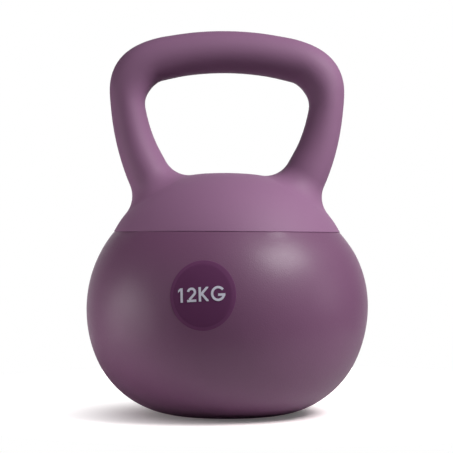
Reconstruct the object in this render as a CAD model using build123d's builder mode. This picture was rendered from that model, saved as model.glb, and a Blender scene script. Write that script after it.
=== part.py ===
from build123d import *
from math import acos, asin, atan2, cos, degrees, hypot, radians, sin, sqrt, tan
import os

# Soft kettlebell: a sand-filled vinyl shell clamped under a dome cap with a looped handle.
# Millimetres, +Z up, origin on the floor under the middle of the body.
# The handle lies in the XZ plane and the badge faces -Y.

# Body of the shell, a profile of tangent arcs turned about Z
body_radius = 105.2
equator_height = 79.5
shoulder_radius = 86.7
belly_radius = 92.0
belly_sweep = 26.0
seam_rise = 56.3
shell_wall = 5.0
shell_edge_round = 0.6

# In-turned lip at the top of the shell
lip_thickness = 5.0
lip_width = 23.5

# Dome of the cap, a flat crown arc running into a rounder flank arc, as shares of the rim's radius
cap_overhang = 0.5
dome_rise = 44.3
crown_share = 2.83
flank_share = 0.962
skin_thickness = 3.5
seam_gap = 0.35
cap_edge_round = 0.5

# Centreline of the handle: bar arc, corner arc, leg arc, straight foot
window_height = 75.1
bar_arch_radius = 215.7
corner_radius = 30.5
leg_spread = 74.7
leg_top_angle = 5.1
leg_curve_radius = 141.0
leg_foot_angle = 25.3

# Oval section of the handle, in its plane and front to back
bar_thickness = 31.5
bar_depth = 33.0
corner_thickness = 32.5
corner_depth = 33.5
leg_top_thickness = 25.8
leg_top_depth = 34.0
leg_low_thickness = 31.4
leg_low_depth = 39.0
leg_root_thickness = 35.0
leg_root_depth = 44.0
root_clearance = 1.1
leg_fillet_radius = 20.0
leg_swell_power = 1.6

# Ovals drawn along each stretch of the handle
bar_oval_count = 4
corner_oval_count = 2
leg_oval_count = 4
foot_oval_count = 3

# Steel frame of the handle
tube_radius = 9.0
tube_wall = 2.5
plate_margin = 3.0
plate_thickness = 5.0
weld_leg = 3.0
weld_slope = 0.7

# Rigid core of the dome
core_wall = 4.5
core_ledge = 3.0
rib_count = 8
rib_thickness = 3.2
hub_radius = 19.0

# Central clamp, M12
bolt_radius = 6.0
bolt_clearance = 0.4
bolt_head_width = 18.0
bolt_head_height = 7.5
bolt_end_length = 3.0
bolt_end_chamfer = 1.0
clamp_overlap = 15.0
clamp_thickness = 6.0
clamp_draw = 0.6
clamp_edge_round = 2.0
washer_radius = 12.0
washer_thickness = 2.5
nut_width = 18.0
nut_height = 10.0

# Filling hole in the base
base_thickness = 9.0
recess_depth = 4.0
recess_margin = 4.0
pad_margin = 6.0
bore_radius = 13.5
collar_wall = 3.0
collar_flange_width = 8.5
collar_flange_thickness = 3.0
plug_head_width = 4.5
plug_head_thickness = 2.2
plug_head_round = 0.7
plug_wall = 3.0
seal_thickness = 1.0
seal_margin = 0.8
slot_length = 18.0
slot_width = 2.4
slot_depth = 1.2

# Badge and weight marking
badge_angle = 9.3
badge_lift = 12.9
badge_width = 46.2
badge_tall = 48.8
badge_border = 2.8
badge_sink = 0.5
badge_stand = 0.35
border_stand = 0.15
badge_cut = 25.0
marking_angle = 3.3
marking_shift = -0.7
marking_lift = 0.35
marking_stand = 0.2
cap_height = 10.0
stroke = 1.65
one_width = 3.3
two_width = 6.5
k_width = 6.8
g_width = 9.8
g_overshoot = 0.2
glyph_gap = 1.75
one_gap = 3.0
flag_drop = 1.4
bowl_start_angle = 170.0
bowl_sweep = 210.0
k_fork = 1.0
k_overrun = 0.5
g_mouth_angle = 38.0

# Fits
bond_gap = 0.2
slide_gap = 0.3

# Places worked out from the sizes above
shoulder_centre = body_radius - shoulder_radius
belly_centre = body_radius - belly_radius
belly_dip = sin(radians(belly_sweep))
foot_radius = (equator_height - belly_radius * belly_dip) / (1 - belly_dip)
foot_centre = belly_centre + (belly_radius - foot_radius) * cos(radians(belly_sweep))
seam_height = equator_height + seam_rise
seam_radius = shoulder_centre + sqrt(shoulder_radius**2 - seam_rise**2)
rim_radius = seam_radius + cap_overhang
crown_radius = crown_share * rim_radius
flank_radius = flank_share * rim_radius
crown_drop = crown_radius - dome_rise
rim_span = hypot(rim_radius, crown_drop)
flank_throw = crown_radius - flank_radius
flank_bend = acos((flank_throw**2 + rim_span**2 - flank_radius**2) / (2 * flank_throw * rim_span))
crown_angle = atan2(rim_radius, crown_drop) - flank_bend
crown_centre = (0, seam_height - crown_drop)
flank_centre = (flank_throw * sin(crown_angle), seam_height - crown_drop + flank_throw * cos(crown_angle))
dome_top_height = seam_height + dome_rise
bar_height = dome_top_height + window_height + bar_thickness / 2

lip_bottom = seam_height - lip_thickness
lip_hole_radius = seam_radius - lip_width
plate_bottom = seam_height
plate_top = plate_bottom + plate_thickness
bolt_hole_radius = bolt_radius + bolt_clearance
bolt_head_reach = bolt_head_width / sqrt(3)
nut_reach = nut_width / sqrt(3)
clamp_radius = lip_hole_radius + clamp_overlap
clamp_top = lip_bottom
clamp_bottom = clamp_top - clamp_thickness
washer_bottom = clamp_bottom - washer_thickness
nut_bottom = washer_bottom - nut_height
bolt_bottom = nut_bottom - bolt_end_length
bolt_head_top = plate_top + bolt_head_height
collar_top = base_thickness + collar_flange_thickness
neck_radius = bore_radius + collar_wall
collar_flange_radius = neck_radius + collar_flange_width
base_pad_radius = collar_flange_radius + pad_margin
plug_radius = bore_radius - slide_gap
plug_head_radius = bore_radius + plug_head_width
recess_radius = plug_head_radius + recess_margin
seal_radius = plug_head_radius - seal_margin
seal_bottom = recess_depth - seal_thickness
plug_bottom = seal_bottom - plug_head_thickness


def body_solid(inset, top):
    """The body of revolution of the shell, drawn in by inset and cut level at top."""
    shoulder = shoulder_radius - inset
    belly = belly_radius - inset
    foot = foot_radius - inset
    top_angle = degrees(asin((top - equator_height) / shoulder))
    with BuildPart() as solid:
        with BuildSketch(Plane.XZ):
            with BuildLine():
                upper = CenterArc((shoulder_centre, equator_height), shoulder, 0, top_angle)
                CenterArc((belly_centre, equator_height), belly, 0, -belly_sweep)
                CenterArc((foot_centre, foot_radius), foot, -belly_sweep, belly_sweep - 90)
                Polyline((foot_centre, inset), (0, inset), (0, top), upper @ 1)
            make_face()
        revolve(axis=Axis.Z)
    return solid.part


def dome_solid(inset, bottom):
    """The dome of the cap, drawn in by inset and cut level at bottom."""
    flank = flank_radius - inset
    crown = crown_radius - inset
    crown_sweep = degrees(crown_angle)
    rim_angle = degrees(asin((bottom - flank_centre[1]) / flank))
    flank_sweep = 90 - crown_sweep - rim_angle
    with BuildPart() as solid:
        with BuildSketch(Plane.YZ):
            with BuildLine():
                side = CenterArc(flank_centre, flank, rim_angle, flank_sweep)
                CenterArc(crown_centre, crown, 90 - crown_sweep, crown_sweep)
                Polyline((0, dome_top_height - inset), (0, bottom), side @ 0)
            make_face()
        revolve(axis=Axis.Z)
    return solid.part


def level_cylinder(radius, bottom, top):
    """A round bar about Z between two heights."""
    with BuildPart() as solid:
        with BuildSketch(Plane.XY.offset(bottom)):
            Circle(radius)
        extrude(amount=top - bottom)
    return solid.part


# Right half of the handle's centreline, from the middle of the bar down to the plate
bar_angle = degrees(asin((leg_spread - corner_radius) / (bar_arch_radius - corner_radius)))
with BuildLine(Plane.XZ) as half_line:
    bar_arc = JernArc((0, bar_height), (1, 0), bar_arch_radius, -bar_angle)
    corner_arc = JernArc(bar_arc @ 1, bar_arc % 1, corner_radius, bar_angle - 90 - leg_top_angle)
    leg_arc = JernArc(corner_arc @ 1, corner_arc % 1, leg_curve_radius, leg_top_angle - leg_foot_angle)
    foot_drop = (leg_arc @ 1).Z - plate_bottom
    foot_run = Line(leg_arc @ 1, leg_arc @ 1 + (leg_arc % 1) * (foot_drop / -(leg_arc % 1).Z))

# Lowest oval of the leg, clear of the cap's rim; plate wide enough for the welded feet; pockets above it
foot_lean = radians(leg_foot_angle)
root_height = seam_gap + root_clearance + leg_root_thickness / 2 * sin(foot_lean)
root_share = 1 - root_height / foot_drop
foot_middle = (foot_run @ 1).X + plate_thickness * tan(foot_lean)
plate_radius = foot_middle + (tube_radius + weld_leg) / cos(foot_lean) + plate_margin
pocket_radius = plate_radius - core_ledge


def bent_rod(radius):
    """A round rod along the whole centreline, from foot to foot."""
    with BuildPart() as solid:
        with BuildLine(Plane.XZ):
            add(half_line.line)
            mirror(about=Plane.YZ)
        with BuildSketch(Plane(foot_run @ 1, x_dir=(0, 1, 0), z_dir=foot_run % 1)):
            Circle(radius)
        sweep()
    return solid.part


def span_sections(line, first, last, start_oval, end_oval, steps, power=1):
    """Ovals along a stretch of the centreline, from one size to another, without its first one."""
    sections = []
    for step in range(1, steps + 1):
        share = step / steps
        place = first + (last - first) * share
        sizes = [start + (end - start) * share**power for start, end in zip(start_oval, end_oval)]
        sections.append((line @ place, line % place, *sizes))
    return sections


# Ovals of the handle, about evenly spaced so that the skin runs smoothly through them
bar_oval = (bar_thickness, bar_depth)
corner_oval = (corner_thickness, corner_depth)
leg_top_oval = (leg_top_thickness, leg_top_depth)
leg_low_oval = (leg_low_thickness, leg_low_depth)
leg_root_oval = (leg_root_thickness, leg_root_depth)
right_sections = [
    *span_sections(bar_arc, 0, 1, bar_oval, bar_oval, bar_oval_count),
    *span_sections(corner_arc, 0, 0.5, bar_oval, corner_oval, corner_oval_count),
    *span_sections(corner_arc, 0.5, 1, corner_oval, leg_top_oval, corner_oval_count),
    *span_sections(leg_arc, 0, 1, leg_top_oval, leg_low_oval, leg_oval_count, leg_swell_power),
    *span_sections(foot_run, 0, root_share, leg_low_oval, leg_root_oval, foot_oval_count),
]
left_sections = [
    (Vector(-place.X, 0, place.Z), Vector(run.X, 0, -run.Z), thickness, depth)
    for place, run, thickness, depth in reversed(right_sections)
]
middle_section = (bar_arc @ 0, bar_arc % 0, *bar_oval)
with BuildPart() as handle_form:
    for place, run, thickness, depth in [*left_sections, middle_section, *right_sections]:
        with BuildSketch(Plane(place, x_dir=(0, 1, 0), z_dir=run)):
            Ellipse(depth / 2, thickness / 2)
    loft()

# Skin of the handle and dome: the whole outer form, less the frame and core inside it
skin_bottom = seam_height + seam_gap
skin_dome = dome_solid(0, skin_bottom)
core_space = dome_solid(skin_thickness - bond_gap, skin_bottom)
rod_space = bent_rod(tube_radius + bond_gap)
with BuildPart() as handle_skin:
    add(skin_dome)
    add(handle_form.part)
    fillet(new_edges(skin_dome, handle_form.part, combined=handle_skin.part), leg_fillet_radius)
    fillet(handle_skin.edges().filter_by(GeomType.CIRCLE).sort_by(Axis.Z)[0], cap_edge_round)
    add(core_space, mode=Mode.SUBTRACT)
    add(rod_space, mode=Mode.SUBTRACT)
handle_skin.part.label = "handle_skin"

# Steel tube, cut square on the anchor plate
tube_outside = bent_rod(tube_radius)
tube_bore = bent_rod(tube_radius - tube_wall)
with BuildPart() as handle_tube:
    add(tube_outside)
    add(tube_bore, mode=Mode.SUBTRACT)
    split(bisect_by=Plane.XY.offset(plate_top), keep=Keep.TOP)
handle_tube.part.label = "handle_tube"

# Weld beads round the two feet of the tube
weld_outside = bent_rod(tube_radius + weld_leg)
weld_slab = level_cylinder(plate_radius, plate_top, plate_top + weld_leg)
with BuildPart() as leg_welds:
    add(weld_outside)
    add(weld_slab, mode=Mode.INTERSECT)
    chamfer(leg_welds.faces().group_by(Axis.Z)[-1].edges(), weld_leg * weld_slope)
    add(rod_space, mode=Mode.SUBTRACT)
leg_welds.part.label = "leg_welds"

# Anchor plate
with BuildPart() as anchor_plate:
    with BuildSketch(Plane.XY.offset(plate_bottom)):
        Circle(plate_radius)
        Circle(bolt_hole_radius, mode=Mode.SUBTRACT)
    extrude(amount=plate_thickness)
anchor_plate.part.label = "anchor_plate"

# Core of the dome: pockets between ribs, open downwards, with a socket round each leg
pocket_dome = dome_solid(skin_thickness + core_wall, plate_top)
pocket_round = level_cylinder(pocket_radius, plate_top, dome_top_height)
hub = level_cylinder(hub_radius, plate_top, dome_top_height)
sockets = bent_rod(tube_radius + core_wall)
with BuildPart() as core_pockets:
    add(pocket_dome)
    add(pocket_round, mode=Mode.INTERSECT)
    add(hub, mode=Mode.SUBTRACT)
    add(sockets, mode=Mode.SUBTRACT)
    with BuildSketch(Plane.XY.offset(plate_top)):
        with PolarLocations(pocket_radius / 2, rib_count):
            Rectangle(pocket_radius, rib_thickness)
    extrude(amount=dome_top_height - plate_top, mode=Mode.SUBTRACT)

core_outside = dome_solid(skin_thickness, seam_height)
plate_space = level_cylinder(plate_radius + bond_gap, seam_height, plate_top)
weld_space = level_cylinder(plate_radius, plate_top, plate_top + weld_leg + bond_gap)
weld_round = bent_rod(tube_radius + weld_leg + bond_gap)
head_space = level_cylinder(bolt_head_reach + slide_gap, plate_top, bolt_head_top + slide_gap)
with BuildPart() as weld_room:
    add(weld_round)
    add(weld_space, mode=Mode.INTERSECT)
with BuildPart() as dome_core:
    add(core_outside)
    add(core_pockets.part, mode=Mode.SUBTRACT)
    add(plate_space, mode=Mode.SUBTRACT)
    add(rod_space, mode=Mode.SUBTRACT)
    add(weld_room.part, mode=Mode.SUBTRACT)
    add(head_space, mode=Mode.SUBTRACT)
dome_core.part.label = "dome_core"

# Bolt through the plate, head up
with BuildPart() as centre_bolt:
    with BuildSketch(Plane.XY.offset(plate_top)):
        RegularPolygon(bolt_head_width / 2, 6, major_radius=False)
    extrude(amount=bolt_head_height)
    with BuildSketch(Plane.XY.offset(bolt_bottom)):
        Circle(bolt_radius)
    extrude(amount=plate_top - bolt_bottom)
    chamfer(centre_bolt.faces().sort_by(Axis.Z)[0].edges(), bolt_end_chamfer)
centre_bolt.part.label = "centre_bolt"

# Clamp plate: a flange under the lip and a spigot through the lip's hole
with BuildPart() as clamp_plate:
    with BuildSketch(Plane.XY.offset(clamp_bottom)):
        Circle(clamp_radius)
    extrude(amount=clamp_thickness)
    with BuildSketch(Plane.XY.offset(clamp_top)):
        Circle(lip_hole_radius - slide_gap)
    extrude(amount=lip_thickness - clamp_draw)
    fillet(clamp_plate.faces().sort_by(Axis.Z)[0].edges(), clamp_edge_round)
    Hole(bolt_hole_radius)
clamp_plate.part.label = "clamp_plate"

# Washer and lock nut
with BuildPart() as bolt_washer:
    with BuildSketch(Plane.XY.offset(washer_bottom)):
        Circle(washer_radius)
        Circle(bolt_hole_radius, mode=Mode.SUBTRACT)
    extrude(amount=washer_thickness)
bolt_washer.part.label = "bolt_washer"

with BuildPart() as lock_nut:
    with BuildSketch(Plane.XY.offset(nut_bottom)):
        RegularPolygon(nut_width / 2, 6, major_radius=False)
        Circle(bolt_radius + bond_gap, mode=Mode.SUBTRACT)
    extrude(amount=nut_height)
lock_nut.part.label = "lock_nut"

# Plane of the badge, touching the front of the shell, and the prisms that cut it out
badge_slope = asin(badge_lift / shoulder_radius)
badge_reach = shoulder_centre + shoulder_radius * cos(badge_slope)
turn = radians(badge_angle)
badge_plane = Plane(
    origin=(-badge_reach * sin(turn), -badge_reach * cos(turn), equator_height + badge_lift),
    x_dir=(cos(turn), -sin(turn), 0),
    z_dir=(-sin(turn) * cos(badge_slope), -cos(turn) * cos(badge_slope), sin(badge_slope)),
)


def badge_prism(margin):
    """An oval prism through the front wall, wider than the badge by margin."""
    with BuildPart() as solid:
        with BuildSketch(badge_plane):
            Ellipse(badge_width / 2 + margin, badge_tall / 2 + margin)
        extrude(amount=badge_cut, both=True)
    return solid.part


def front_layer(stand, sink):
    """The layer of the body from stand outside its surface to sink inside it."""
    outside = body_solid(-stand, seam_height)
    inside = body_solid(sink, seam_height)
    with BuildPart() as solid:
        add(outside)
        add(inside, mode=Mode.SUBTRACT)
    return solid.part


# Badge: a thin oval patch, lower round its border
border_layer = front_layer(border_stand, badge_sink)
badge_layer = front_layer(badge_stand, badge_sink)
badge_outline = badge_prism(0)
badge_field = badge_prism(-badge_border)
with BuildPart() as border_ring:
    add(badge_outline)
    add(border_layer, mode=Mode.INTERSECT)
with BuildPart() as weight_badge:
    add(badge_field)
    add(badge_layer, mode=Mode.INTERSECT)
    add(border_ring.part)
weight_badge.part.label = "weight_badge"

# Characters of the weight marking, each drawn about its own middle
half_cap = cap_height / 2
with BuildSketch() as digit_one:
    stem_left = one_width / 2 - stroke
    with Locations((one_width / 2 - stroke / 2, 0)):
        Rectangle(stroke, cap_height)
    with BuildLine():
        Polyline(
            (stem_left, half_cap),
            (-one_width / 2, half_cap - flag_drop),
            (-one_width / 2, half_cap - flag_drop - stroke),
            (stem_left, half_cap - stroke),
            close=True,
        )
    make_face()

with BuildSketch() as digit_two:
    bowl_radius = (two_width - stroke) / 2
    with BuildLine():
        bowl = CenterArc((0, half_cap - two_width / 2), bowl_radius, bowl_start_angle, -bowl_sweep)
        Line(bowl @ 1, (-two_width / 2 + stroke, stroke - half_cap))
    trace(line_width=stroke)
    with Locations((0, stroke / 2 - half_cap)):
        Rectangle(two_width, stroke)
    Rectangle(two_width, cap_height, mode=Mode.INTERSECT)

with BuildSketch() as letter_k:
    stem_right = stroke - k_width / 2
    with BuildLine():
        Line((stem_right - stroke / 2, -k_fork), (k_width / 2, half_cap + k_overrun))
        Line((stem_right, k_fork), (k_width / 2, -half_cap - k_overrun))
    trace(line_width=stroke)
    with Locations((stroke / 2 - k_width / 2, 0)):
        Rectangle(stroke, cap_height)
    Rectangle(k_width, cap_height, mode=Mode.INTERSECT)

with BuildSketch() as letter_g:
    g_half = half_cap + g_overshoot
    Ellipse(g_width / 2, g_half)
    Ellipse(g_width / 2 - stroke, g_half - stroke, mode=Mode.SUBTRACT)
    with BuildLine():
        Polyline((0, 0), (g_width, 0), (g_width, g_width * tan(radians(g_mouth_angle))), close=True)
    make_face(mode=Mode.SUBTRACT)
    with Locations((g_width / 4, -stroke / 2)):
        Rectangle(g_width / 2, stroke)

# The characters in a row across the badge, tilted as a whole
glyph_row = [(digit_one, one_width, one_gap), (digit_two, two_width, glyph_gap)]
glyph_row += [(letter_k, k_width, glyph_gap), (letter_g, g_width, 0)]
row_width = sum(width + gap for _, width, gap in glyph_row)
row_tilt = radians(marking_angle)
row_plane = Plane(
    origin=badge_plane.from_local_coords((marking_shift, marking_lift)),
    x_dir=badge_plane.x_dir * cos(row_tilt) + badge_plane.y_dir * sin(row_tilt),
    z_dir=badge_plane.z_dir,
)
marking_bottom = badge_stand + bond_gap / 2
marking_layer = front_layer(marking_bottom + marking_stand, -marking_bottom)
with BuildPart() as weight_marking:
    with BuildSketch(row_plane):
        pen = -row_width / 2
        for glyph, width, gap in glyph_row:
            with Locations((pen + width / 2, 0)):
                add(glyph.sketch)
            pen += width + gap
    extrude(amount=badge_cut, both=True)
    add(marking_layer, mode=Mode.INTERSECT)
weight_marking.part.label = "weight_marking"

# Soft shell: wall, in-turned lip, thick base with the filling hole, pocket for the badge
shell_outside = body_solid(0, seam_height)
shell_inside = body_solid(shell_wall, lip_bottom)
base_pad = level_cylinder(base_pad_radius, shell_wall, base_thickness)
lip_hole = level_cylinder(lip_hole_radius, lip_bottom, seam_height)
base_recess = level_cylinder(recess_radius, 0, recess_depth)
neck_hole = level_cylinder(neck_radius + bond_gap, recess_depth, base_thickness)
pocket_layer = front_layer(badge_stand, badge_sink + bond_gap)
pocket_outline = badge_prism(bond_gap)
with BuildPart() as badge_pocket:
    add(pocket_outline)
    add(pocket_layer, mode=Mode.INTERSECT)
with BuildPart() as soft_shell:
    add(shell_outside)
    fillet(soft_shell.faces().sort_by(Axis.Z)[-1].edges(), shell_edge_round)
    add(shell_inside, mode=Mode.SUBTRACT)
    add(base_pad)
    add(lip_hole, mode=Mode.SUBTRACT)
    add(base_recess, mode=Mode.SUBTRACT)
    add(neck_hole, mode=Mode.SUBTRACT)
    add(badge_pocket.part, mode=Mode.SUBTRACT)
soft_shell.part.label = "soft_shell"

# Iron sand up to the clamp plate, clear of the nut above and of the collar below
sand_body = body_solid(shell_wall + slide_gap, clamp_bottom - slide_gap)
nut_space = level_cylinder(max(washer_radius, nut_reach) + slide_gap, bolt_bottom - slide_gap, clamp_bottom)
pad_space = level_cylinder(base_pad_radius + slide_gap, shell_wall, base_thickness + slide_gap)
collar_space = level_cylinder(collar_flange_radius + slide_gap, base_thickness, collar_top + slide_gap)
with BuildPart() as iron_sand:
    add(sand_body)
    add(nut_space, mode=Mode.SUBTRACT)
    add(pad_space, mode=Mode.SUBTRACT)
    add(collar_space, mode=Mode.SUBTRACT)
iron_sand.part.label = "iron_sand"

# Collar of the filling hole: a neck through the base and a flange inside it
with BuildPart() as fill_collar:
    with BuildSketch(Plane.XY.offset(recess_depth)):
        Circle(neck_radius)
    extrude(amount=base_thickness - recess_depth)
    with BuildSketch(Plane.XY.offset(base_thickness)):
        Circle(collar_flange_radius)
    extrude(amount=collar_flange_thickness)
    Hole(bore_radius)
fill_collar.part.label = "fill_collar"

# Stopper: a flat head in the recess, a hollow shank in the collar, a coin slot below
with BuildPart() as fill_plug:
    with BuildSketch(Plane.XY.offset(plug_bottom)):
        Circle(plug_head_radius)
    extrude(amount=plug_head_thickness)
    fillet(fill_plug.faces().sort_by(Axis.Z)[0].edges(), plug_head_round)
    with BuildSketch(Plane.XY.offset(seal_bottom)):
        Circle(plug_radius)
    extrude(amount=collar_top - seal_bottom)
    with BuildSketch(Plane.XY.offset(seal_bottom + plug_wall)):
        Circle(plug_radius - plug_wall)
    extrude(amount=collar_top - seal_bottom, mode=Mode.SUBTRACT)
    with BuildSketch(Plane.XY.offset(plug_bottom)):
        SlotOverall(slot_length, slot_width)
    extrude(amount=slot_depth, mode=Mode.SUBTRACT)
fill_plug.part.label = "fill_plug"

with BuildPart() as plug_seal:
    with BuildSketch(Plane.XY.offset(seal_bottom)):
        Circle(seal_radius)
        Circle(plug_radius + bond_gap, mode=Mode.SUBTRACT)
    extrude(amount=seal_thickness - bond_gap)
plug_seal.part.label = "plug_seal"

pieces = [
    handle_skin,
    handle_tube,
    leg_welds,
    anchor_plate,
    dome_core,
    centre_bolt,
    clamp_plate,
    bolt_washer,
    lock_nut,
    weight_badge,
    weight_marking,
    soft_shell,
    iron_sand,
    fill_collar,
    fill_plug,
    plug_seal,
]
os.makedirs("parts", exist_ok=True)
for piece in pieces:
    export_step(piece.part, f"parts/{piece.part.label}.step")
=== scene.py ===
import math

import bmesh
import bpy
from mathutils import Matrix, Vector, noise


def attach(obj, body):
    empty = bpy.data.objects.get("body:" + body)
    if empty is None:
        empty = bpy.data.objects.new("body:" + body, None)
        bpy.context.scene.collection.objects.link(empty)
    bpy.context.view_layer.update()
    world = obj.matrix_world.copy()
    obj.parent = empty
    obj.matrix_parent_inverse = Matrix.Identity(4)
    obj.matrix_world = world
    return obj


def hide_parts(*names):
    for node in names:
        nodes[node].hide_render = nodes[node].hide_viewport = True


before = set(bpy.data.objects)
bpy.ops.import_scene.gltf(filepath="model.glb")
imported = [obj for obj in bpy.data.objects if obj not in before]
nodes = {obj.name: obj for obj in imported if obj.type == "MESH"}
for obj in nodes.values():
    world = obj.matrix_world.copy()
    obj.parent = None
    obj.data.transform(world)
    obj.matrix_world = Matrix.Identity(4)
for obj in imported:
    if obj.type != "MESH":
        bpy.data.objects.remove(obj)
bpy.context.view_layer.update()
scene = bpy.context.scene
MM = 0.001

# Profile of the shell in millimetres, as in the solids
BODY_R = 105.2
EQUATOR_Z = 79.5
SHOULDER_R = 86.7
BELLY_R = 92.0
BELLY_SWEEP = 26.0
SEAM_Z = 135.8
SEAM_GAP = 0.35
WALL = 5.0
LIP = 5.0
LIP_HOLE_R = 60.9
BASE_THICK = 9.0
RECESS_R = 22.0
RECESS_DEPTH = 4.0
NECK_R = 16.7
PAD_R = 31.0

# Edges of the shell's mesh and drop of the cap's rim, in millimetres
EDGE_ROUND = 0.3
RIM_DROP = 0.42
LIP_SINK = 0.03
RECESS_ROUND = 0.8
RECESS_CHAMFER = 0.3

# Centres and heights that follow from the profile
SHOULDER_C = BODY_R - SHOULDER_R
BELLY_C = BODY_R - BELLY_R
BELLY_DIP = math.sin(math.radians(BELLY_SWEEP))
FOOT_R = (EQUATOR_Z - BELLY_R * BELLY_DIP) / (1 - BELLY_DIP)
FOOT_C = BELLY_C + (BELLY_R - FOOT_R) * math.cos(math.radians(BELLY_SWEEP))
RIM_Z = SEAM_Z + SEAM_GAP - RIM_DROP
LIP_TOP = RIM_Z - LIP_SINK

# Small unevenness of the shell: swell, sideways lean and slope of the seam
SHELL_TURNS = 320
SWELL = 0.22
SWELL_SCALE = 0.022
SWELL_START = 0.12
SWELL_END = 0.25
LEAN = 0.35
SEAM_TILT = 0.0052
SEAM_BAND = 18.0

# Groove under the cap: waves of (middle in degrees, half width in degrees, opening in millimetres)
SEAM_LEAST = -0.1
SEAM_WAVES = [
    (-58, 9, 0.42), (-46, 7, -0.2), (-6, 20, 0.02), (6, 7, -0.08), (24, 13, -0.24), (54, 20, 0.55),
    (112, 22, 0.12), (140, 12, -0.12), (170, 24, 0.20), (205, 12, -0.14), (236, 22, 0.16),
]

# Bulge of the shell's upper edge where the groove closes
LIP_SWELL = 5.0
LIP_BAND = 6.0

# Handle: slope of the bar, and the heights between which slope and drop of the rim change
BAR_TILT = 0.0125
TILT_FROM = 150.0 * MM
TILT_FULL = 200.0 * MM
RIM_FADE = 165.0 * MM
SPECK = 0.001 * MM

# Window's upper corners: waves of (middle in degrees, width in degrees, push in millimetres)
CORNER_O = (44.2 * MM, 235.45 * MM)
CORNER_FROM = 28.0 * MM
CORNER_FULL = 17.0 * MM
CORNER_WAVES = [(4, 30, -0.37), (53, 14.5, 0.55), (88, 13, -0.60)]

# Badge in degrees and millimetres, as in the solids
BADGE_ANGLE = 9.3
BADGE_LIFT = 12.9
BADGE_HALF = (23.1, 24.4)
BADGE_STAND = 0.35
BORDER_STAND = 0.15

# Rings of the badge's mesh: inset from its edge and stand off the shell, in millimetres
BACK_STAND = -0.12
BADGE_TURNS = 144
FIT_ROUNDS = 12
FIELD_INSETS = (22.0, 19.0, 15.0, 11.0, 8.0, 5.5, 4.2, 3.6)
STEP_RINGS = [(3.3, 0.335), (3.0, 0.29), (2.8, 0.25), (2.6, 0.21), (2.3, 0.165)]
BORDER_INSETS = (2.0, 1.2, 0.5)
EDGE_RINGS = [(0.22, 0.12), (0.06, 0.06), (0.0, 0.0)]
BACK_INSETS = (0.1, 3.0, 8.0, 14.0, 21.0)


def clamp(value):
    """A value held between 0 and 1."""
    return min(1.0, max(0.0, value))


def ease(value):
    """A smooth step from 0 to 1."""
    share = clamp(value)
    return share * share * (3 - 2 * share)


def arc(centre, radius, start, end, count, last=True):
    """Points of an arc in the (radius, height) plane, angles in degrees from the horizontal."""
    stop = count if last else count - 1
    points = []
    for i in range(stop + 1):
        a = math.radians(start + (end - start) * i / count)
        points.append((centre[0] + radius * math.cos(a), centre[1] + radius * math.sin(a)))
    return points


def line(start, end, count):
    """Points of a straight run without its last one."""
    return [
        (start[0] + (end[0] - start[0]) * i / count, start[1] + (end[1] - start[1]) * i / count)
        for i in range(count)
    ]


def add_piece(name, mesh, node):
    """An object of the kettlebell's body from a mesh in the row frame, standing for a CAD node."""
    obj = bpy.data.objects.new(name, mesh)
    scene.collection.objects.link(obj)
    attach(obj, "kettlebell")
    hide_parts(node)
    return obj


def smooth_mesh(name, verts, faces):
    """A smooth mesh from millimetre points, its normals facing out."""
    mesh = bpy.data.meshes.new(name)
    mesh.from_pydata([[c * MM for c in v] for v in verts], [], faces)
    mesh.validate()
    work = bmesh.new()
    work.from_mesh(mesh)
    bmesh.ops.recalc_face_normals(work, faces=work.faces)
    work.to_mesh(mesh)
    work.free()
    for polygon in mesh.polygons:
        polygon.use_smooth = True
    return mesh


# Shell: outer wall, rolled edge at the seam, flat foot, recess, and the hidden inner wall
def shell_profile():
    """The closed profile, with the places where its rolled edge and its outer wall start and end."""
    shoulder, belly, foot = (SHOULDER_C, EQUATOR_Z), (BELLY_C, EQUATOR_Z), (FOOT_C, FOOT_R)
    edge_z = SEAM_Z - EDGE_ROUND
    inside = SHOULDER_R - EDGE_ROUND
    edge = (SHOULDER_C + math.sqrt(inside ** 2 - (edge_z - EQUATOR_Z) ** 2), edge_z)
    edge_a = math.degrees(math.asin((edge_z - EQUATOR_Z) / inside))
    lip_z = SEAM_Z - LIP
    lip_a = math.degrees(math.asin((lip_z - EQUATOR_Z) / (SHOULDER_R - WALL)))
    ledge_r = RECESS_R - RECESS_CHAMFER

    points = line((LIP_HOLE_R, LIP_TOP), (edge[0], LIP_TOP), count=6)
    points += [(edge[0], LIP_TOP)]
    edge_first = len(points)
    points += arc(edge, EDGE_ROUND, 90, edge_a, count=6, last=False)
    outer_first = len(points)
    points += arc(shoulder, SHOULDER_R, edge_a, 0, count=40, last=False)
    points += arc(belly, BELLY_R, 0, -BELLY_SWEEP, count=20, last=False)
    points += arc(foot, FOOT_R, -BELLY_SWEEP, -90, count=44, last=False)
    outer_last = len(points)
    points += line((FOOT_C, 0), (RECESS_R + RECESS_ROUND, 0), count=5)
    points += arc((RECESS_R + RECESS_ROUND, RECESS_ROUND), RECESS_ROUND, 270, 180, count=5)
    points += line((RECESS_R, RECESS_DEPTH - RECESS_CHAMFER), (ledge_r, RECESS_DEPTH), count=1)
    points += line((ledge_r, RECESS_DEPTH), (NECK_R, RECESS_DEPTH), count=3)
    points += line((NECK_R, RECESS_DEPTH), (NECK_R, BASE_THICK), count=2)
    points += line((NECK_R, BASE_THICK), (PAD_R, BASE_THICK), count=3)
    points += line((PAD_R, BASE_THICK), (PAD_R, WALL), count=1)
    points += [(PAD_R, WALL)]
    points += arc(foot, FOOT_R - WALL, -90, -BELLY_SWEEP, count=20, last=False)
    points += arc(belly, BELLY_R - WALL, -BELLY_SWEEP, 0, count=10, last=False)
    points += arc(shoulder, SHOULDER_R - WALL, 0, lip_a, count=18)
    points += line((LIP_HOLE_R, lip_z), (LIP_HOLE_R, LIP_TOP), count=2)
    return points, edge_first, outer_first, outer_last


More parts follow.
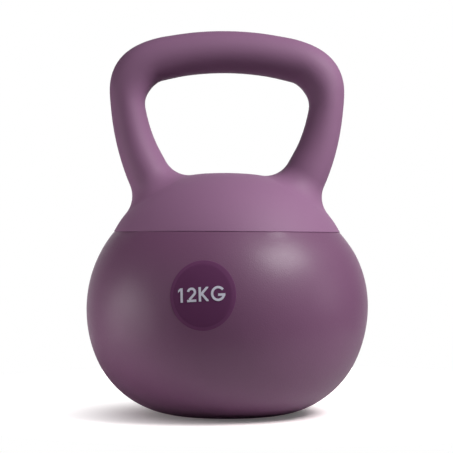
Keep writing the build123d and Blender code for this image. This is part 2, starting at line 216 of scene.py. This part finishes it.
def seam_width(side):
    """Width of the groove under the cap, in millimetres, at degrees from the front towards +X."""
    width = 0.0
    for middle, half, amount in SEAM_WAVES:
        away = ((side - middle + 180) % 360 - 180) / half
        width += amount * max(0.0, 1 - away * away) ** 2
    return width


def uneven(x, y, z, r, span):
    """A point of the outer wall, swollen and leaning a little; span runs from its top to its foot."""
    fade = min(1.0, span / SWELL_START, (1 - span) / SWELL_END)
    push = SWELL * fade * noise.noise(Vector((x, y, z)) * SWELL_SCALE)
    normal = Vector((x, y, (z - EQUATOR_Z) * r / BODY_R)).normalized()
    x, y, z = x + normal.x * push, y + normal.y * push, z + normal.z * push
    x += LEAN * math.sin(math.pi * clamp((SEAM_Z - z) / SEAM_Z) * 2) * fade
    return x, y, z


def shell_mesh():
    """The profile turned about Z, with the seam's groove and tilt."""
    profile, edge_first, outer_first, outer_last = shell_profile()
    n = len(profile)
    verts = []
    faces = []
    for k in range(SHELL_TURNS):
        k2 = (k + 1) % SHELL_TURNS
        turn = 2 * math.pi * k / SHELL_TURNS
        groove = seam_width(math.degrees(turn) + 90)
        edge_lift = RIM_Z - SEAM_Z - max(SEAM_LEAST, groove)
        swell = LIP_SWELL * max(0.0, SEAM_LEAST - groove)
        for i, (r, z) in enumerate(profile):
            x, y = r * math.cos(turn), r * math.sin(turn)
            if outer_first <= i < outer_last:
                x, y, z = uneven(x, y, z, r, (i - outer_first) / (outer_last - outer_first))
            hold = ease(1 - (SEAM_Z - z) / SEAM_BAND)
            lift_here = 0.0
            if edge_first <= i < outer_last:
                lift_here = edge_lift
                out = swell * clamp(1 - (SEAM_Z - z) / LIP_BAND) ** 2
                x, y = x + out * math.cos(turn), y + out * math.sin(turn)
            verts.append((x, y, z + hold * (lift_here - SEAM_TILT * x)))
            j = (i + 1) % n
            faces.append((k * n + i, k * n + j, k2 * n + j, k2 * n + i))
    return smooth_mesh("shell_cover", verts, faces)


shell = add_piece("shell_cover", shell_mesh(), "soft_shell")


# Handle and dome: the solid's own skin, a little tilted, with rounder window corners and a lower rim
def round_corner(co):
    """Ease the inside of the handle's upper corners into a rounder bend."""
    across, up = abs(co.x) - CORNER_O[0], co.z - CORNER_O[1]
    far = math.hypot(across, up)
    share = ease((CORNER_FROM - far) / (CORNER_FROM - CORNER_FULL))
    if share == 0.0 or far == 0.0:
        return
    side = math.degrees(math.atan2(across, up))
    push = sum(size * math.exp(-((side - at) / wide) ** 2) for at, wide, size in CORNER_WAVES)
    push *= MM * share
    co.x += push * across / far * math.copysign(1.0, co.x)
    co.z += push * up / far


def cover_mesh():
    """A copy of the skin without its specks, eased, tilted and lowered a little at the rim."""
    mesh = nodes["handle_skin"].data.copy()
    mesh.name = "handle_cover"
    weld = bmesh.new()
    weld.from_mesh(mesh)
    bmesh.ops.dissolve_degenerate(weld, dist=SPECK, edges=weld.edges)
    weld.to_mesh(mesh)
    weld.free()
    for vertex in mesh.vertices:
        co = vertex.co
        round_corner(co)
        rise = ease((co.z - TILT_FROM) / (TILT_FULL - TILT_FROM))
        low = clamp((RIM_FADE - co.z) / (RIM_FADE - SEAM_Z * MM))
        co.z -= co.x * (SEAM_TILT + (BAR_TILT - SEAM_TILT) * rise)
        co.z -= RIM_DROP * MM * low
    return mesh


cover = add_piece("handle_cover", cover_mesh(), "handle_skin")

# Badge: a thin patch that follows the shell, a raised field inside a lower welded border
badge_tip = math.asin(BADGE_LIFT / SHOULDER_R)
badge_turn = math.radians(BADGE_ANGLE)
badge_sin, badge_cos = math.sin(badge_turn), math.cos(badge_turn)
badge_r = SHOULDER_C + SHOULDER_R * math.cos(badge_tip)
badge_o = Vector((-badge_r * badge_sin, -badge_r * badge_cos, EQUATOR_Z + BADGE_LIFT))
badge_x = Vector((badge_cos, -badge_sin, 0))
badge_n = Vector((-badge_sin * math.cos(badge_tip), -badge_cos * math.cos(badge_tip), math.sin(badge_tip)))
badge_y = badge_n.cross(badge_x)

badge_rings = [(inset, BADGE_STAND) for inset in FIELD_INSETS] + STEP_RINGS
border_first = len(badge_rings)
badge_rings += [(inset, BORDER_STAND) for inset in BORDER_INSETS] + EDGE_RINGS
border_last = len(badge_rings)
badge_rings += [(inset, BACK_STAND) for inset in BACK_INSETS]


def body_distance(p):
    """Signed distance in millimetres from a point to the shell's outer surface."""
    r = math.hypot(p[0], p[1])
    z = p[2]
    if z >= EQUATOR_Z:
        return math.hypot(r - SHOULDER_C, z - EQUATOR_Z) - SHOULDER_R
    below = math.degrees(math.atan2(EQUATOR_Z - z, r - BELLY_C))
    if below <= BELLY_SWEEP:
        return math.hypot(r - BELLY_C, z - EQUATOR_Z) - BELLY_R
    return math.hypot(r - FOOT_C, z - FOOT_R) - FOOT_R


def on_shell(u, v, stand):
    """The point over (u, v) of the badge's plane that stands off the shell by stand."""
    flat = badge_o + badge_x * u + badge_y * v
    depth = 0.0
    for _ in range(FIT_ROUNDS):
        depth += stand - body_distance(flat + badge_n * depth)
    return flat + badge_n * depth


def badge_mesh():
    """Rings from the middle of the face over the edge to the middle of the back."""
    verts = [on_shell(0, 0, BADGE_STAND)]
    for inset, stand in badge_rings:
        half_u, half_v = BADGE_HALF[0] - inset, BADGE_HALF[1] - inset
        for k in range(BADGE_TURNS):
            a = 2 * math.pi * k / BADGE_TURNS
            verts.append(on_shell(half_u * math.cos(a), half_v * math.sin(a), stand))
    verts.append(on_shell(0, 0, BACK_STAND))
    faces = []
    for k in range(BADGE_TURNS):
        k2 = (k + 1) % BADGE_TURNS
        faces.append((0, 1 + k, 1 + k2))
        for i in range(len(badge_rings) - 1):
            a, b = 1 + i * BADGE_TURNS, 1 + (i + 1) * BADGE_TURNS
            faces.append((a + k, b + k, b + k2, a + k2))
        a = 1 + (len(badge_rings) - 1) * BADGE_TURNS
        faces.append((a + k, len(verts) - 1, a + k2))
    return smooth_mesh("badge_patch", verts, faces)


badge = add_piece("badge_patch", badge_mesh(), "weight_badge")


# Places of the share, the colours and the result among the Mix node's sockets
MIX_SHARE = 0
MIX_FIRST = 6
MIX_SECOND = 7
MIX_RESULT = 2


# Nodes that the materials, the floor and the world share
def add_node(tree, kind, **values):
    """A new node with its inputs or its settings given by name."""
    made = tree.nodes.new(kind)
    for key, value in values.items():
        if key in made.inputs:
            made.inputs[key].default_value = value
        else:
            setattr(made, key, value)
    return made


def ramp(tree, value, start, end, to=(0.0, 1.0), kind="SMOOTHSTEP"):
    """A value mapped from the range between start and end onto another."""
    made = add_node(tree, "ShaderNodeMapRange", interpolation_type=kind)
    limits = zip(("From Min", "From Max", "To Min", "To Max"), (start, end, *to))
    for name, limit in limits:
        made.inputs[name].default_value = limit
    tree.links.new(value, made.inputs["Value"])
    return made.outputs["Result"]


def maths(tree, operation, *values):
    """The result of one operation on linked values."""
    made = add_node(tree, "ShaderNodeMath", operation=operation)
    for value, socket in zip(values, made.inputs):
        tree.links.new(value, socket)
    return made.outputs[0]


def mix_colours(tree, share, first, second):
    """A colour between two others."""
    made = add_node(tree, "ShaderNodeMix", data_type="RGBA")
    made.inputs[MIX_FIRST].default_value = (*first, 1)
    made.inputs[MIX_SECOND].default_value = (*second, 1)
    tree.links.new(share, made.inputs[MIX_SHARE])
    return made.outputs[MIX_RESULT]


def mix_shaders(tree, share, first, second):
    """The first shader where share is 0 and the second where it is 1."""
    made = add_node(tree, "ShaderNodeMixShader")
    for value, socket in zip((share, first, second), made.inputs):
        tree.links.new(value, socket)
    return made.outputs[0]


# Materials
DRIFT_DETAIL = 3.0
DRIFT_ROUGH = 0.55
GRAIN_DETAIL = 2.0
GRAIN_ROUGH = 0.6


def surface(
    name, light, dark, patch, rough, grain, depth, specular=0.5, metallic=0.0, coat=0.0, coat_rough=0.3
):
    """A moulded surface: colour drifting over patches, fine grain in its roughness and as bump."""
    mat = bpy.data.materials.new(name)
    mat.use_nodes = True
    tree = mat.node_tree
    shader = tree.nodes["Principled BSDF"]
    place = add_node(tree, "ShaderNodeTexCoord").outputs["Object"]
    drift = add_node(tree, "ShaderNodeTexNoise", Scale=patch, Detail=DRIFT_DETAIL, Roughness=DRIFT_ROUGH)
    fine = add_node(tree, "ShaderNodeTexNoise", Scale=grain, Detail=GRAIN_DETAIL, Roughness=GRAIN_ROUGH)
    tree.links.new(place, drift.inputs["Vector"])
    tree.links.new(place, fine.inputs["Vector"])
    tree.links.new(mix_colours(tree, drift.outputs["Fac"], dark, light), shader.inputs["Base Color"])
    tree.links.new(ramp(tree, fine.outputs["Fac"], 0.0, 1.0, rough, "LINEAR"), shader.inputs["Roughness"])
    bump = add_node(tree, "ShaderNodeBump", Strength=1.0, Distance=depth)
    tree.links.new(fine.outputs["Fac"], bump.inputs["Height"])
    tree.links.new(bump.outputs["Normal"], shader.inputs["Normal"])
    shader.inputs["Specular IOR Level"].default_value = specular
    shader.inputs["Metallic"].default_value = metallic
    shader.inputs["Coat Weight"].default_value = coat
    shader.inputs["Coat Roughness"].default_value = coat_rough
    if coat:
        tree.links.new(bump.outputs["Normal"], shader.inputs["Coat Normal"])
    return mat


def paint_light_and_shade_by_height(mat, start, end, tones):
    """Change the colour's tone between two heights as painted light and shade: lighter on the dome, darker
    on the bar, so that the bar is darker than the dome.
    """
    tree = mat.node_tree
    colour = tree.nodes["Principled BSDF"].inputs["Base Color"]
    axes = add_node(tree, "ShaderNodeSeparateXYZ")
    tree.links.new(add_node(tree, "ShaderNodeTexCoord").outputs["Object"], axes.inputs[0])
    toned = add_node(tree, "ShaderNodeVectorMath", operation="SCALE")
    tree.links.new(colour.links[0].from_socket, toned.inputs[0])
    tree.links.new(ramp(tree, axes.outputs["Z"], start, end, tones), toned.inputs["Scale"])
    tree.links.new(toned.outputs[0], colour)


def dress(obj, mat):
    """Give an object one material."""
    obj.data.materials.clear()
    obj.data.materials.append(mat)


shell_vinyl = surface(
    "shell_vinyl_mat", light=(0.187, 0.0733, 0.157), dark=(0.173, 0.0667, 0.145), patch=22.0,
    rough=(0.42, 0.80), grain=1100.0, depth=0.00012, specular=0.46, coat=0.26, coat_rough=0.285,
)
cap_vinyl = surface(
    "cap_vinyl_mat", light=(0.285, 0.141, 0.254), dark=(0.272, 0.134, 0.242), patch=22.0,
    rough=(0.56, 0.66), grain=1300.0, depth=0.00008, specular=0.28,
)
# Painted light on the dome and painted shade on the bar, by height
paint_light_and_shade_by_height(cap_vinyl, start=0.185, end=0.255, tones=(1.035, 0.935))
badge_vinyl = surface(
    "badge_vinyl_mat", light=(0.130, 0.040, 0.112), dark=(0.119, 0.036, 0.102), patch=60.0,
    rough=(0.50, 0.60), grain=2200.0, depth=0.00002, specular=0.05,
)
border_vinyl = surface(
    "badge_border_mat", light=(0.157, 0.052, 0.135), dark=(0.146, 0.048, 0.125), patch=60.0,
    rough=(0.50, 0.60), grain=2200.0, depth=0.00002, specular=0.05,
)
print_mat = surface(
    "marking_print_mat", light=(0.715, 0.705, 0.825), dark=(0.665, 0.655, 0.775), patch=300.0,
    rough=(0.45, 0.6), grain=3000.0, depth=0.00001,
)
steel = surface(
    "steel_mat", light=(0.56, 0.56, 0.58), dark=(0.50, 0.50, 0.52), patch=90.0,
    rough=(0.25, 0.4), grain=900.0, depth=0.00001, metallic=1.0,
)
core_plastic = surface(
    "core_plastic_mat", light=(0.040, 0.038, 0.041), dark=(0.030, 0.029, 0.031), patch=40.0,
    rough=(0.5, 0.65), grain=1500.0, depth=0.00003,
)
clamp_iron = surface(
    "clamp_iron_mat", light=(0.065, 0.065, 0.070), dark=(0.050, 0.050, 0.055), patch=80.0,
    rough=(0.4, 0.6), grain=700.0, depth=0.00008, metallic=0.6,
)
sand_mat = surface(
    "iron_sand_mat", light=(0.090, 0.082, 0.080), dark=(0.045, 0.042, 0.042), patch=900.0,
    rough=(0.5, 0.8), grain=1200.0, depth=0.0003,
)
collar_plastic = surface(
    "collar_plastic_mat", light=(0.065, 0.054, 0.062), dark=(0.052, 0.044, 0.050), patch=60.0,
    rough=(0.4, 0.55), grain=1800.0, depth=0.00003,
)
stopper_rubber = surface(
    "stopper_rubber_mat", light=(0.050, 0.045, 0.050), dark=(0.038, 0.034, 0.038), patch=60.0,
    rough=(0.55, 0.7), grain=1600.0, depth=0.00004,
)

dress(shell, shell_vinyl)
dress(cover, cap_vinyl)
dress(badge, badge_vinyl)
badge.data.materials.append(border_vinyl)
for polygon in badge.data.polygons:
    ring = (min(polygon.vertices) - 1) // BADGE_TURNS
    polygon.material_index = int(border_first - 1 <= ring < border_last)

finishes = [
    (cap_vinyl, ["handle_skin"]),
    (shell_vinyl, ["soft_shell"]),
    (badge_vinyl, ["weight_badge"]),
    (print_mat, ["weight_marking"]),
    (steel, ["handle_tube", "leg_welds", "anchor_plate", "centre_bolt", "bolt_washer", "lock_nut"]),
    (core_plastic, ["dome_core"]),
    (clamp_iron, ["clamp_plate"]),
    (sand_mat, ["iron_sand"]),
    (collar_plastic, ["fill_collar"]),
    (stopper_rubber, ["fill_plug", "plug_seal"]),
]
for mat, names in finishes:
    for name in names:
        dress(nodes[name], mat)

# Floor: a plain pale round top that keeps the object's shadow and runs out to white for the camera
FLOOR_R = 0.32
FLOOR_TURNS = 128
FLOOR_AT = (0.03, 0.13, 0)
# Rose tint of the floor seen by the camera: painted bounce light from the shell in its shadow
FLOOR_PALE_ROSE_BOUNCE = (1.0, 0.90, 0.895, 1)
FLOOR_MATT = (0.82, 0.81, 0.80)
# Floor darker under the base for bounced light: painted contact shade
PAINTED_CONTACT_SHADE = (0.06, 0.055, 0.055)
PAINTED_SHADE_FADE = (0.045, 0.0775)
GLOW_FADE = (0.045, 0.142)
GLOW_RANGE = (0.085, 1.0)
PASS_FADE = (0.049, 0.033)


def floor_material():
    """Glowing outwards for the camera and clear to it from below; matt for all other light, darker under
    the base as painted contact shade, and tinted rose for the camera as painted bounce light in the
    shadow.
    """
    mat = bpy.data.materials.new("floor_mat")
    mat.use_nodes = True
    tree = mat.node_tree
    tree.nodes.clear()
    place = add_node(tree, "ShaderNodeNewGeometry")
    ray = add_node(tree, "ShaderNodeLightPath")
    length = add_node(tree, "ShaderNodeVectorMath", operation="LENGTH")
    tree.links.new(place.outputs["Position"], length.inputs[0])
    far = length.outputs["Value"]

    matt = add_node(tree, "ShaderNodeBsdfDiffuse")
    # Painted contact shade: the matt floor darkens towards the base
    painted_contact_shade = mix_colours(tree, ramp(tree, far, *PAINTED_SHADE_FADE), PAINTED_CONTACT_SHADE, FLOOR_MATT)
    tree.links.new(painted_contact_shade, matt.inputs["Color"])
    # The rose tint paints the shell's bounce light into the floor's shadow
    pale_rose_bounce = add_node(tree, "ShaderNodeBsdfDiffuse", Color=FLOOR_PALE_ROSE_BOUNCE)
    glow = add_node(tree, "ShaderNodeEmission")
    tree.links.new(ramp(tree, far, *GLOW_FADE, GLOW_RANGE), glow.inputs["Strength"])
    shown = add_node(tree, "ShaderNodeAddShader")
    tree.links.new(pale_rose_bounce.outputs[0], shown.inputs[0])
    tree.links.new(glow.outputs[0], shown.inputs[1])
    top = mix_shaders(tree, ray.outputs["Is Camera Ray"], matt.outputs[0], shown.outputs[0])

    clear = add_node(tree, "ShaderNodeBsdfTransparent")
    from_below = maths(tree, "MULTIPLY", ray.outputs["Is Camera Ray"], place.outputs["Backfacing"])
    # Close under the base the lamp below shines through, onto the underside
    near = ramp(tree, far, *PASS_FADE)
    passing = maths(tree, "MULTIPLY_ADD", near, ray.outputs["Is Shadow Ray"], from_below)
    out = add_node(tree, "ShaderNodeOutputMaterial")
    tree.links.new(mix_shaders(tree, passing, top, clear.outputs[0]), out.inputs["Surface"])
    return mat


floor_mesh = bpy.data.meshes.new("floor")
floor_turns = [2 * math.pi * k / FLOOR_TURNS for k in range(FLOOR_TURNS)]
floor_edge = [(FLOOR_R * math.cos(a), FLOOR_R * math.sin(a), 0) for a in floor_turns]
floor_mesh.from_pydata(floor_edge, [], [tuple(range(FLOOR_TURNS))])
floor_mesh.materials.append(floor_material())
floor = bpy.data.objects.new("floor", floor_mesh)
scene.collection.objects.link(floor)
floor.location = FLOOR_AT

# World: white for the camera and, in reflections, behind the object; dim elsewhere
WORLD_DIM = 0.03
WORLD_TINT = (1.0, 0.98, 0.98, 1)
WHITE = (1, 1, 1, 1)
BACKDROP_FADE = (0.60, 1.00)


def studio_world():
    """A world whose brightness depends on the kind of ray."""
    world = bpy.data.worlds.new("studio")
    world.use_nodes = True
    tree = world.node_tree
    tree.nodes.clear()
    soft = add_node(tree, "ShaderNodeBackground", Color=WORLD_TINT, Strength=WORLD_DIM)
    white = add_node(tree, "ShaderNodeBackground", Color=WHITE, Strength=1.0)
    ray = add_node(tree, "ShaderNodeLightPath")
    axes = add_node(tree, "ShaderNodeSeparateXYZ")
    tree.links.new(add_node(tree, "ShaderNodeTexCoord").outputs["Generated"], axes.inputs[0])
    behind = ramp(tree, axes.outputs["Y"], *BACKDROP_FADE)
    mirror = maths(tree, "MAXIMUM", ray.outputs["Is Glossy Ray"], ray.outputs["Is Transmission Ray"])
    mirrored = maths(tree, "MULTIPLY", mirror, behind)
    bright = maths(tree, "MAXIMUM", ray.outputs["Is Camera Ray"], mirrored)
    out = add_node(tree, "ShaderNodeOutputWorld")
    tree.links.new(mix_shaders(tree, bright, soft.outputs[0], white.outputs[0]), out.inputs["Surface"])
    return world


scene.world = studio_world()

# Lamps
LAMP_TARGET = (0, 0, 0.13)
FOOT_TARGET = (0, 0, 0.05)
ROSE = (1.0, 0.89, 0.94)
DOWN = (0, 0, -1)


def bearing(turn, rise):
    """Direction to a lamp: turn in degrees from the front towards +X, rise above the level."""
    a, e = math.radians(turn), math.radians(rise)
    return (math.sin(a) * math.cos(e), -math.cos(a) * math.cos(e), math.sin(e))


def softbox(name, direction, distance, size, power, colour=(1, 1, 1), target=LAMP_TARGET):
    """A rectangular studio lamp that looks at the object."""
    lamp = bpy.data.lights.new(name, "AREA")
    lamp.shape = "RECTANGLE"
    lamp.size, lamp.size_y = size
    lamp.energy = power
    lamp.color = colour
    obj = bpy.data.objects.new(name, lamp)
    scene.collection.objects.link(obj)
    aim = Vector(direction).normalized()
    obj.location = Vector(target) + aim * distance
    obj.rotation_mode = "QUATERNION"
    obj.rotation_quaternion = aim.to_track_quat("Z", "Y")
    obj.visible_camera = False


softbox("key_light", bearing(58.8, 43), distance=1.2, size=(0.7, 0.45), power=16.6)
softbox(
    "side_light", bearing(280, -2), distance=0.5, size=(0.44, 0.26), power=0.78,
    colour=ROSE, target=FOOT_TARGET,
)
softbox("left_light", bearing(277, 5), distance=1.2, size=(0.45, 0.44), power=2.3)
softbox("front_light", bearing(-40, 22), distance=1.2, size=(0.6, 0.6), power=0.45)
softbox("back_light", bearing(180, 4), distance=1.2, size=(0.7, 0.5), power=1.5)
softbox("under_light", DOWN, distance=0.6, size=(0.30, 0.30), power=0.9)
softbox("fill_light", bearing(85, 6), distance=1.2, size=(0.5, 0.44), power=1.2)

# Camera at the photograph's angle
SENSOR = 36.0
FOCAL_PX = 1600.0
IMAGE_PX = 453.0
CAMERA_AT = (-0.000375, -1.2, 0.130)
CAMERA_RISE = 0.483

camera_data = bpy.data.cameras.new("camera")
camera_data.sensor_width = SENSOR
camera_data.lens = FOCAL_PX / IMAGE_PX * SENSOR
camera = bpy.data.objects.new("camera", camera_data)
scene.collection.objects.link(camera)
camera.location = CAMERA_AT
camera.rotation_euler = (math.radians(90 + CAMERA_RISE), 0, 0)
scene.camera = camera

scene.view_settings.view_transform = "Standard"
